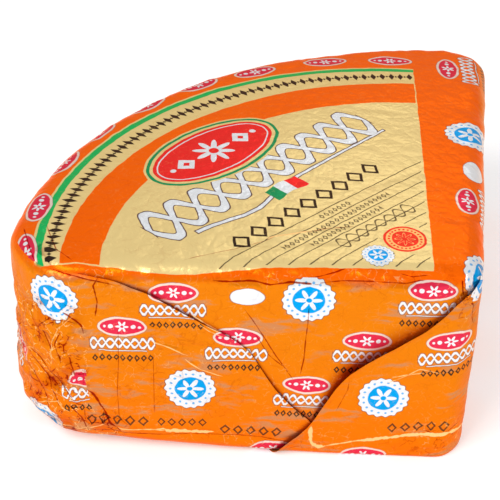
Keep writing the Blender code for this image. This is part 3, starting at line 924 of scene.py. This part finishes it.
def lozenge_row():
    """Lozenges side by side."""
    net = Net("lozenge_row", PLACE + [("Pitch", "Float", 2.0), ("Half Width", "Float", 0.8),
                                      ("Half Height", "Float", 1.2), ("Half Length", "Float", 10.0)],
              [("Distance", "Float")])
    x, y, half_width, half_height = (net.given[label] for label in ("X", "Y", "Half Width", "Half Height"))
    half_pitch = net.times(net.given["Pitch"], 0.5)
    cell = net.math("WRAP", x, half_pitch, net.times(half_pitch, -1.0))
    across = net.ratio(net.absolute(cell), half_width)
    up = net.ratio(net.absolute(y), half_height)
    steepness = net.ratio(net.times(half_width, half_height), net.length(half_width, half_height))
    shape = net.times(net.less(net.add(across, up), 1.0), steepness)
    return net.done("Distance", net.both(shape, net.less(net.absolute(x), net.given["Half Length"])))


def braid():
    """Two waves twined into an even braid that grows towards both its ends."""
    net = Net("braid", PLACE + [("Half Length", "Float", 10.0), ("Height", "Float", 2.0),
                                ("Wave Length", "Float", 6.0), ("Thickness", "Float", 0.4),
                                ("Growth", "Float", 0.0)], [("Distance", "Float")])
    x, y, half_length = (net.given[label] for label in ("X", "Y", "Half Length"))
    steepness = net.ratio(math.tau, net.given["Wave Length"])
    phase = net.times(x, steepness)
    share = net.ratio(x, half_length)
    growth = net.times(net.given["Growth"], net.times(share, share))
    height = net.times(net.given["Height"], net.add(1.0, growth))
    slope = net.times(net.times(height, steepness), net.math("COSINE", phase))
    strand = net.times(height, net.math("SINE", phase))
    to_strands = net.either(net.absolute(net.less(y, strand)), net.absolute(net.add(y, strand)))
    swell = net.times(0.35, net.math("COSINE", net.times(phase, 2.0)))
    pen = net.times(net.given["Thickness"], net.less(1.0, swell))
    strands = net.less(net.ratio(to_strands, net.length(slope, 1.0)), pen)
    return net.done("Distance", net.both(strands, net.less(net.absolute(x), half_length)))


LOZENGE_ROW = lozenge_row()
BRAID = braid()


def print_net(name):
    """Net of one print, with the place on it and the colour that it is printed on."""
    net = Net(name, PLACE + [("Under", "Color", None)], [("Color", "Color")])
    return net, net.given["X"], net.given["Y"], net.given["Under"]


def plaque_print():
    """Red oval plaque with a pale rim and a small white flower between dots, 15.4 x 7.4."""
    net, x, y, under = print_net("plaque_print")
    plate = net.oval(x, y, 7.7, 3.7)
    colour = net.outlined(under, plate, 0.12)
    colour = net.paint(colour, PLAQUE_RIM, net.inside(plate))
    colour = net.paint(colour, PLAQUE_RED, net.inside(net.add(plate, 0.75)))
    off_middle = net.absolute(x)
    dots = net.either(net.disc(off_middle, y, 3.5, 0.0, 0.75), net.disc(off_middle, y, 5.4, 0.0, 0.45))
    colour = net.paint(colour, WHITE, net.inside(net.either(net.flower(x, y, 1.45, 0.7, 6), dots)))
    return net.done("Color", net.paint(colour, PLAQUE_RED, net.inside(net.disc(x, y, 0.0, 0.0, 0.5))))


PLAQUE_PRINT = plaque_print()


def block_print():
    """Plaque with a white braid and a row of dark lozenges below it."""
    net, x, y, under = print_net("block_print")
    colour = net.use(PLAQUE_PRINT, x=x, y=y, under=under)
    strands = net.use(BRAID, x=x, y=net.add(y, 6.4), half_length=10.2, height=1.5, wave_length=5.1,
                      thickness=0.36, growth=0.35)
    line = net.both(net.stroke(net.add(y, 9.3), 0.13), net.less(net.absolute(x), 7.5))
    scroll = net.either(strands, line)
    colour = net.outlined(colour, scroll, 0.26, 0.6)
    colour = net.paint(colour, WHITE, net.inside(scroll))
    row = net.use(LOZENGE_ROW, x=x, y=net.add(y, 12.2), pitch=2.15, half_width=0.98, half_height=1.45,
                  half_length=9.6)
    return net.done("Color", net.inked(colour, net.border(row, 0.24), 0.95))


def seal_print():
    """White seal with a scalloped edge, a white flower on its blue middle and a ring of blue dots."""
    net, x, y, under = print_net("seal_print")
    edge = net.flower(x, y, 8.0, 0.3, 18)
    colour = net.outlined(under, edge, 0.26)
    colour = net.paint(colour, WHITE, net.inside(edge))
    colour = net.paint(colour, SEAL_BLUE, net.inside(net.disc(x, y, 0.0, 0.0, 5.0)))
    colour = net.paint(colour, WHITE, net.inside(net.flower(x, y, 2.7, 1.5, 6)))
    colour = net.paint(colour, SEAL_BLUE, net.inside(net.disc(x, y, 0.0, 0.0, 0.9)))
    dots = net.ring_of_dots(x, y, 6.4, 18, 0.42)
    return net.done("Color", net.paint(colour, SEAL_BLUE, net.times(net.inside(dots), 0.8)))


def oval_print():
    """Bare white oval with a thin dark outline."""
    net, x, y, under = print_net("oval_print")
    oval = net.disc(net.times(x, 0.56), y, 0.0, 0.0, 3.0)
    return net.done("Color", net.paint(net.outlined(under, oval, 0.14), WHITE, net.inside(oval)))


def rosette_print():
    """Red rosette with a ring of dots on peach and an eight-petalled flower in outline."""
    net, x, y, under = print_net("rosette_print")
    from_middle = net.length(x, y)
    colour = net.paint(under, ROSETTE_RED, net.inside(net.less(from_middle, 6.8)))
    colour = net.paint(colour, ROSETTE_PEACH, net.inside(net.less(from_middle, 6.0)))
    red = net.either(net.ring_of_dots(x, y, 5.1, 24, 0.4), net.less(from_middle, 4.2))
    colour = net.paint(colour, ROSETTE_RED, net.inside(red))
    petals = net.stroke(net.flower(x, y, 2.1, 1.1, 8), 0.2)
    return net.done("Color", net.paint(colour, ROSETTE_PEACH, net.inside(petals)))


def row_print():
    """Row of larger dark lozenges."""
    net, x, y, under = print_net("row_print")
    row = net.use(LOZENGE_ROW, x=x, y=y, pitch=4.2, half_width=1.75, half_height=2.2, half_length=10.5)
    return net.done("Color", net.inked(under, net.border(row, 0.3), 0.85))


# The top's panel: its right border leans, its front border dips once
PANEL_RIGHT, PANEL_LEAN, PANEL_FRONT = -15.4, 0.046, 3.7
DIP_MIDDLE, DIP_WIDTH, DIP_DEPTH = -94.0, 19.0, 2.9
# Its arcs, each as a middle and a radius: the green one, the orange band's two, and the row of lozenges'
OUTER_ARC, BAND_ARC, MIDDLE_ARC = (-16.7, 15.5, 119.5), (-9.6, 3.7, 119.5), (-9.7, 0.1, 107.4)
ARC_ROW_MIDDLE, ARC_ROW_RADIUS, ARC_ROW_PITCH, WHOLE_ARC = (-13.2, 9.6), 118.1, 3.4, 400.0
# Its diagonal print runs along a direction of its own and is measured from a corner in front of the panel
PRINT_TURN = math.radians(46)
PRINT_CORNER = (-14.56, -1.23)
PRINT_SCALE_ALONG, PRINT_SCALE_ACROSS = 1.014, 1.037
RULED_LEAN, RULED_TOP, RULED_HALF_PITCH, GAP_ROUND_ROSETTE = 0.055, 49.9, 2.3, 8.5
# Rows of tiny lozenges on the ruled lines: their middle along and across, and half their length
SMALL_ROWS = ((5.0, -2.4, 7.0), (1.0, -7.0, 24.0), (1.0, -11.5, 16.0))
MEDALLION_PLACE, MEDALLION_HALVES = (2.6, 102.2), (29.0, 16.8)
MEDALLION_RINGS = ((0.0, CREAM), (0.8, TILE_GREEN), (2.0, CREAM), (3.2, MEDALLION_RED), (4.6, WHITE),
                   (5.1, MEDALLION_RED))


def panel_arcs(net, x, y, panel, colour):
    """The panel's cream ground, its green arc, the row of lozenges along it and its orange band."""
    outer, band, middle = (net.disc(x, y, *arc_form) for arc_form in (OUTER_ARC, BAND_ARC, MIDDLE_ARC))
    colour = net.paint(colour, CREAM, net.inside(net.both(net.less(outer, 2.0), panel)))
    colour = net.paint(colour, GREEN, net.inside(net.both(net.stroke(outer, 1.25), panel)))
    turn = net.math("ARCTAN2", net.less(y, ARC_ROW_MIDDLE[1]), net.less(x, ARC_ROW_MIDDLE[0]))
    along = net.times(turn, ARC_ROW_RADIUS)
    across = net.times(net.add(outer, band), 0.5)
    large = net.use(LOZENGE_ROW, x=along, y=across, pitch=ARC_ROW_PITCH, half_width=1.15, half_height=2.7,
                    half_length=WHOLE_ARC)
    small = net.use(LOZENGE_ROW, x=net.add(along, ARC_ROW_PITCH / 2), y=across, pitch=ARC_ROW_PITCH,
                    half_width=0.55, half_height=0.8, half_length=WHOLE_ARC)
    row = net.both(net.either(large, small), net.both(net.add(outer, 2.0), net.less(1.0, band)))
    colour = net.inked(colour, net.both(row, net.add(panel, 0.8)))
    colour = net.paint(colour, TOP_ORANGE, net.inside(net.both(band, net.add(panel, 0.4))))
    return net.paint(colour, CREAM, net.inside(net.both(middle, panel)))


def panel_rows(net, x, y, along, across, panel, colour):
    """Ruled lines with rows of tiny lozenges and a thin braid on them, and a row of open lozenges."""
    up_lines = net.less(net.add(across, net.times(along, RULED_LEAN)), RULED_TOP)
    ruled = net.stroke(net.math("WRAP", up_lines, RULED_HALF_PITCH, -RULED_HALF_PITCH), 0.2)
    ruled = net.both(ruled, net.both(net.less(up_lines, 1.0), net.add(panel, 0.9)))
    ruled = net.both(ruled, net.less(0.0, net.disc(x, y, *ROSETTE_PLACE, GAP_ROUND_ROSETTE)))
    colour = net.inked(colour, ruled, 0.9)
    for middle_along, middle_across, half_length in SMALL_ROWS:
        tiny = net.use(LOZENGE_ROW, x=net.less(along, middle_along), y=net.less(up_lines, middle_across),
                       pitch=2.0, half_width=0.85, half_height=1.3, half_length=half_length)
        colour = net.inked(colour, net.border(tiny, 0.2), 0.85)
    thin = net.use(BRAID, x=net.less(along, 8.0), y=net.add(up_lines, 17.5), half_length=17.0, height=2.0,
                   wave_length=8.5, thickness=0.26, growth=0.5)
    colour = net.inked(colour, thin, 0.85)
    row = net.use(LOZENGE_ROW, x=net.less(along, 1.5), y=net.less(across, 56.0), pitch=7.8, half_width=3.5,
                  half_height=4.1, half_length=35.1)
    return net.inked(colour, net.border(row, 0.5))


def panel_scroll(net, along, across, colour):
    """Large white braid over a line that sags once, and a small tile of three colours on the line."""
    sag = net.bell(net.ratio(net.add(along, 14.0), 14.0))
    bow = net.add(net.less(across, 70.2), net.times(4.8, sag))
    line = net.both(net.stroke(bow, net.less(0.62, net.times(along, 0.004))),
                    net.stroke(net.less(along, 10.5), 46.5))
    strands = net.use(BRAID, x=net.less(along, 5.5), y=net.less(across, 80.5), half_length=52.0, height=6.2,
                      wave_length=20.8, thickness=1.25, growth=0.4)
    scroll = net.either(strands, line)
    colour = net.outlined(colour, scroll, 0.42, 1.0)
    colour = net.paint(colour, WHITE, net.inside(scroll))
    tile_along = net.less(along, 3.3)
    ripple = net.times(0.6, net.math("SINE", net.times(along, 0.5)))
    tile = net.slab(tile_along, net.less(across, net.add(67.9, ripple)), 7.3, 3.4, 0.2)
    colour = net.paint(colour, TILE_GREEN, net.inside(tile))
    colour = net.paint(colour, WHITE, net.inside(net.both(tile, net.less(-2.5, tile_along))))
    return net.paint(colour, MEDALLION_RED, net.inside(net.both(tile, net.less(2.4, tile_along))))


def panel_medallion(net, along, across, colour):
    """Oval medallion with thin rings, a white flower, two lozenges and two dots."""
    x, y = net.less(along, MEDALLION_PLACE[0]), net.less(across, MEDALLION_PLACE[1])
    plate = net.oval(x, y, *MEDALLION_HALVES)
    for inset, ink in MEDALLION_RINGS:
        colour = net.paint(colour, ink, net.inside(net.add(plate, inset)))
    off_middle = net.absolute(x)
    lozenges = net.less(net.add(net.absolute(net.less(off_middle, 13.0)), net.absolute(y)), 4.0)
    white = net.either(net.either(net.flower(x, y, 5.2, 2.4, 8), lozenges),
                       net.disc(off_middle, y, 19.2, 0.0, 1.1))
    colour = net.paint(colour, WHITE, net.inside(white))
    hearts = net.either(net.disc(x, y, 0.0, 0.0, 1.8), net.add(lozenges, 2.6))
    return net.paint(colour, MEDALLION_RED, net.inside(hearts))


def panel_print():
    """Pale panel of the top, with all that is printed on it."""
    net, x, y, under = print_net("panel_print")
    dip = net.bell(net.ratio(net.less(x, DIP_MIDDLE), DIP_WIDTH))
    front = net.less(PANEL_FRONT, net.times(DIP_DEPTH, dip))
    right = net.less(net.less(x, PANEL_RIGHT), net.times(y, PANEL_LEAN))
    panel = net.both(right, net.less(front, y))
    colour = panel_arcs(net, x, y, panel, under)
    from_x, from_y = net.less(x, PRINT_CORNER[0]), net.less(y, PRINT_CORNER[1])
    cosine, sine = math.cos(PRINT_TURN), math.sin(PRINT_TURN)
    along = net.times(net.add(net.times(from_x, cosine), net.times(from_y, sine)), PRINT_SCALE_ALONG)
    across = net.times(net.less(net.times(from_y, cosine), net.times(from_x, sine)), PRINT_SCALE_ACROSS)
    colour = panel_rows(net, x, y, along, across, panel, colour)
    colour = panel_scroll(net, along, across, colour)
    return net.done("Color", panel_medallion(net, along, across, colour))


def crease_line():
    """Mask of a crease line that thins out towards its ends and is broken here and there."""
    net = Net("crease_line", [("Place", "Vector", None), ("Crease", "Vector", None),
                              ("Half Width", "Float", 0.3)], [("Mask", "Float")])
    distance, way = net.split(net.given["Crease"])
    # The width changes here and there. Along valleys the line is painted shade, along ridges worn ink with a
    # painted glint.
    unevenness = net.fade(net.noise(net.given["Place"], 450.0, 2.0)["Fac"], 0.3, 0.6)
    ends = net.times(net.fade(way, -0.02, 0.1), net.fade(way, 1.02, 0.9))
    half = net.times(net.given["Half Width"], net.times(net.add(0.35, net.times(unevenness, 0.9)), ends))
    line = net.inside(net.stroke(distance, half), 0.12)
    return net.done("Mask", net.times(line, net.fade(half, 0.0, 0.06)))


def wrap_print():
    """The whole print: ground colour by place, the top's panel and the nearest small motif."""
    vectors = ("Place", "Top Place", "Wall Place", "Motif Place", "Motif Kind")
    net = Net("wrap_print", [(label, "Vector", None) for label in vectors]
              + [("Cracked", "Float", 0.0), ("Level Streaks", "Float", 0.0)], [("Color", "Color")])
    drawn = net.node("VectorMath", net.noise(net.given["Place"], 210.0, 3.0)["Color"], (0.5, 0.5, 0.5),
                     operation="SUBTRACT").outputs[0]
    moved = net.node("VectorMath", drawn, operation="SCALE")
    net.put(moved.inputs["Scale"], net.add(0.9, net.times(net.given["Cracked"], 4.0)))
    pushed_x, pushed_y = net.split(moved.outputs[0])

    def print_place(label):
        x, y = net.split(net.given[label], TO_MM)
        return {"x": net.add(x, pushed_x), "y": net.add(y, pushed_y)}

    up = net.split(net.given["Wall Place"], TO_MM)[1]
    # Walls' ground: yellower than the top as painted reflection, darker towards the base as painted shade
    ground = net.paint(SHADED_LOW_ORANGE, FLOOR_LIT_WALL_ORANGE, net.fade(up, 0.0, 45.0))
    # Dull brownish tone in level streaks
    ground = net.paint(ground, LEVEL_STREAK_BROWN, net.given["Level Streaks"])
    ground = net.paint(ground, TOP_ORANGE, net.fade(up, TOP_PRINT_FROM - 3.0, TOP_PRINT_FROM))
    on_top = net.fade(up, TOP_PRINT_FROM - 1.0, TOP_PRINT_FROM)
    colour = net.paint(ground, net.use(panel_print(), **print_place("Top Place"), under=ground), on_top)
    kind = net.split(net.given["Motif Kind"])[0]
    motif_place = print_place("Motif Place")
    groups = (block_print(), seal_print(), oval_print(), PLAQUE_PRINT, rosette_print(), row_print())
    for number, group in enumerate(groups, 1):
        is_kind = net.inside(net.stroke(net.less(kind, float(number)), 0.5), 0.01)
        colour = net.paint(colour, net.use(group, **motif_place, under=colour), is_kind)
    return net.done("Color", colour)


def foil_crinkle():
    """Height of the foil's finest creases; masks of their painted shade, of painted glints and of painted
    shade on its facets where it is cracked; and a mask of dull patches that lie level on the walls."""
    net = Net("foil_crinkle", [("Place", "Vector", None), ("Size", "Float", 7.0), ("Cracked", "Float", 0.0)],
              [(label, "Float") for label in ("Height", "Dark", "Pale", "Shaded", "Level Streaks")])
    place, cracked = net.given["Place"], net.given["Cracked"]
    scale = net.ratio(TO_MM, net.given["Size"])

    def noise(share, detail, at=place):
        return net.noise(at, net.times(scale, share), detail)

    moved = net.node("VectorMath", noise(0.7, 2.0)["Color"], (0.004, 0.004, 0.004), place,
                     operation="MULTIPLY_ADD").outputs[0]
    patches = noise(0.9, 5.0)["Fac"]
    broken = noise(2.6, 2.0)["Fac"]
    lines = noise(1.7, 3.0)["Fac"]
    deepest = net.add(0.35, cracked)
    ridges = []
    for share in (1.0, 2.3):
        cells = net.node("TexVoronoi", moved, feature="DISTANCE_TO_EDGE")
        net.put(cells.inputs["Scale"], net.times(scale, share))
        ridges.append(cells.outputs["Distance"])
    facet_height = net.add(net.times(net.either(ridges[0], deepest), 0.65),
                           net.times(net.either(ridges[1], deepest), 0.35))
    height = net.add(facet_height, net.times(lines, 0.15))
    few = net.either(net.add(0.10, net.times(cracked, 1.2)), 1.0)
    thin = net.absolute(net.less(lines, 0.5))
    dark = net.both(net.times(net.fade(thin, 0.018, 0.006), net.fade(broken, 0.40, 0.48)),
                    net.times(net.fade(ridges[0], 0.035, 0.012), net.fade(broken, 0.46, 0.54)))
    pale = net.both(net.times(net.fade(thin, 0.012, 0.004), net.fade(broken, 0.52, 0.46)),
                    net.times(net.fade(ridges[1], 0.035, 0.012), net.fade(broken, 0.53, 0.6)))
    level = net.node("VectorMath", moved, (1.0, 1.0, 3.6), operation="MULTIPLY").outputs[0]
    broad_patches, streaks = noise(0.30, 5.0, level)["Fac"], noise(1.2, 3.0, level)["Fac"]
    results = {"Height": net.times(height, net.add(1.5, net.times(cracked, 4.5))),
               "Dark": net.times(net.times(few, net.fade(patches, 0.46, 0.54)), dark),
               "Pale": net.times(net.times(few, net.fade(patches, 0.55, 0.47)), pale),
               "Shaded": net.times(net.times(cracked, 0.8), net.fade(patches, 0.49, 0.62)),
               "Level Streaks": net.times(net.fade(broad_patches, 0.54, 0.61), net.fade(streaks, 0.40, 0.60))}
    for label, value in results.items():
        net.put(net.results[label], value)
    return net.tree


def foil_material():
    material = bpy.data.materials.new("printed_foil")
    material.use_nodes = True
    tree = material.node_tree
    tree.nodes.clear()
    output = tree.nodes.new("ShaderNodeOutputMaterial")
    shader = tree.nodes.new("ShaderNodeBsdfPrincipled")
    tree.links.new(shader.outputs[0], output.inputs[0])
    place = tree.nodes.new("ShaderNodeTexCoord").outputs["Object"]
    crease_group = crease_line()

    def uv_map(name):
        source = tree.nodes.new("ShaderNodeUVMap")
        source.uv_map = name
        return source.outputs[0]

    def parts_of(name):
        parts = tree.nodes.new("ShaderNodeSeparateXYZ")
        tree.links.new(uv_map(name), parts.inputs[0])
        return parts.outputs[0], parts.outputs[1]

    def grouped(group, links):
        node = tree.nodes.new("ShaderNodeGroup")
        node.node_tree = group
        for label, source in links.items():
            tree.links.new(source, node.inputs[label])
        return node.outputs

    def crease_mask(name, half_width):
        return grouped(crease_group, {"Place": place, "Crease": uv_map(name), "Half Width": half_width})[0]

    def mixed(share, under, colour, kind="MIX"):
        mix = tree.nodes.new("ShaderNodeMix")
        mix.data_type = "RGBA"
        mix.blend_type = kind
        tree.links.new(share, mix.inputs[0])
        tree.links.new(under, mix.inputs[6])
        mix.inputs[7].default_value = colour
        return mix.outputs[2]

    shade, cracked = parts_of("folds")
    crinkle = grouped(foil_crinkle(), {"Place": place, "Cracked": cracked})
    printed = grouped(wrap_print(), {"Place": place, "Top Place": uv_map("top_print"),
                                     "Wall Place": uv_map("wall_print"), "Motif Place": uv_map("motif_print"),
                                     "Motif Kind": uv_map("motif_kind"), "Cracked": cracked,
                                     "Level Streaks": crinkle["Level Streaks"]})
    dark_width, pale_width = parts_of("crease_width")
    # Painted shadow beside the flaps and painted shade in the dents of the crumpled foil
    colour = mixed(shade, printed[0], SHADED, "MULTIPLY")
    # Painted shade on the crumpled foil's facets
    colour = mixed(crinkle["Shaded"], colour, FACET_SHADE, "MULTIPLY")
    # Painted shade along the finest creases
    colour = mixed(crinkle["Dark"], colour, CREASE_SHADE, "MULTIPLY")
    # Painted glints along the finest ridges
    colour = mixed(crinkle["Pale"], colour, PAINTED_GLINT)
    # Painted shade along the valley folds
    colour = mixed(crease_mask("dark_crease", dark_width), colour, CREASE_SHADE, "MULTIPLY")
    # Worn-off strips, and worn ink with a painted glint along the ridge folds
    colour = mixed(crease_mask("pale_crease", pale_width), colour, PALE_STRIP)
    tree.links.new(colour, shader.inputs["Base Color"])

    bump = tree.nodes.new("ShaderNodeBump")
    bump.inputs["Strength"].default_value = 0.35
    bump.inputs["Distance"].default_value = 0.0008
    tree.links.new(crinkle["Height"], bump.inputs["Height"])
    tree.links.new(bump.outputs[0], shader.inputs["Normal"])
    shader.inputs["Metallic"].default_value = 0.5
    shader.inputs["Roughness"].default_value = 0.28
    shader.inputs["Specular IOR Level"].default_value = 0.05
    shader.inputs["Specular Tint"].default_value = (1.0, 0.5, 0.2, 1)
    return material


# Pieces

def dressed(piece, material):
    piece.data.materials.append(material)
    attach(piece, "root")
    return piece


wedge = SmoothWedge()
foil = foil_material()
wrap = dressed(foil_wrap(wedge), foil)
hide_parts(NODE)
for flap_name, flap_form in FLAPS.items():
    dressed(foil_flap(wedge, flap_name, flap_form), foil)


# Floor, light and camera

def floor():
    work = bmesh.new()
    bmesh.ops.create_grid(work, x_segments=1, y_segments=1, size=6)
    mesh = bpy.data.meshes.new("floor")
    work.to_mesh(mesh)
    work.free()
    piece = bpy.data.objects.new("floor", mesh)
    piece.location.z = LOW.z
    bpy.context.scene.collection.objects.link(piece)
    material = bpy.data.materials.new("pale_floor")
    material.use_nodes = True
    shader = material.node_tree.nodes["Principled BSDF"]
    shader.inputs["Base Color"].default_value = (0.8, 0.8, 0.8, 1)
    shader.inputs["Roughness"].default_value = 0.9
    shader.inputs["Emission Color"].default_value = (1, 1, 1, 1)
    shader.inputs["Emission Strength"].default_value = 0.3
    mesh.materials.append(material)


def soft_box(name, place, aim, size, watts):
    light = bpy.data.lights.new(name, "AREA")
    light.shape = "RECTANGLE"
    light.size, light.size_y = size
    light.energy = watts
    holder = bpy.data.objects.new(name, light)
    holder.location = place
    holder.rotation_euler = (Vector(aim) - Vector(place)).to_track_quat("-Z", "Y").to_euler()
    bpy.context.scene.collection.objects.link(holder)


floor()
soft_box("key_box", (-0.9, -0.9, 1.4), (0, 0, 0), (1.0, 1.0), 21)
soft_box("fill_box", (1.2, -0.8, 0.8), (0, 0, 0), (0.8, 0.8), 7)
soft_box("top_box", (0.6, 1.6, 1.5), (0, 0, 0), (1.2, 0.6), 2.5)

world = bpy.data.worlds.new("studio")
bpy.context.scene.world = world
world.use_nodes = True
world.node_tree.nodes["Background"].inputs[0].default_value = (1, 1, 1, 1)
world.node_tree.nodes["Background"].inputs[1].default_value = 0.56

# Camera, fitted to the photo's outline of the pack
CAMERA_PLACE = Vector((-77.34, -340.64, 323.78))
CAMERA_AIM = Vector((0.01444, 0.81584, -0.5781))
CAMERA_ROLL = 0.0353
FOCAL_PIXELS = 1402.6
PHOTO_PIXELS = 500

camera_data = bpy.data.cameras.new("camera")
camera_data.sensor_width = 36
camera_data.lens = FOCAL_PIXELS / PHOTO_PIXELS * 36
camera_data.clip_start = 0.01
camera = bpy.data.objects.new("camera", camera_data)
bpy.context.scene.collection.objects.link(camera)
aim = CAMERA_AIM.normalized()
right = aim.cross(Vector((0, 0, 1))).normalized()
above = right.cross(aim)
turned_right = right * math.cos(CAMERA_ROLL) + above * math.sin(CAMERA_ROLL)
turned_above = above * math.cos(CAMERA_ROLL) - right * math.sin(CAMERA_ROLL)
camera.matrix_world = Matrix.Translation(CAMERA_PLACE * MM + WHEEL_MIDDLE) @ Matrix(
    (turned_right, turned_above, -aim)).transposed().to_4x4()
bpy.context.scene.camera = camera
bpy.context.scene.view_settings.view_transform = "Standard"
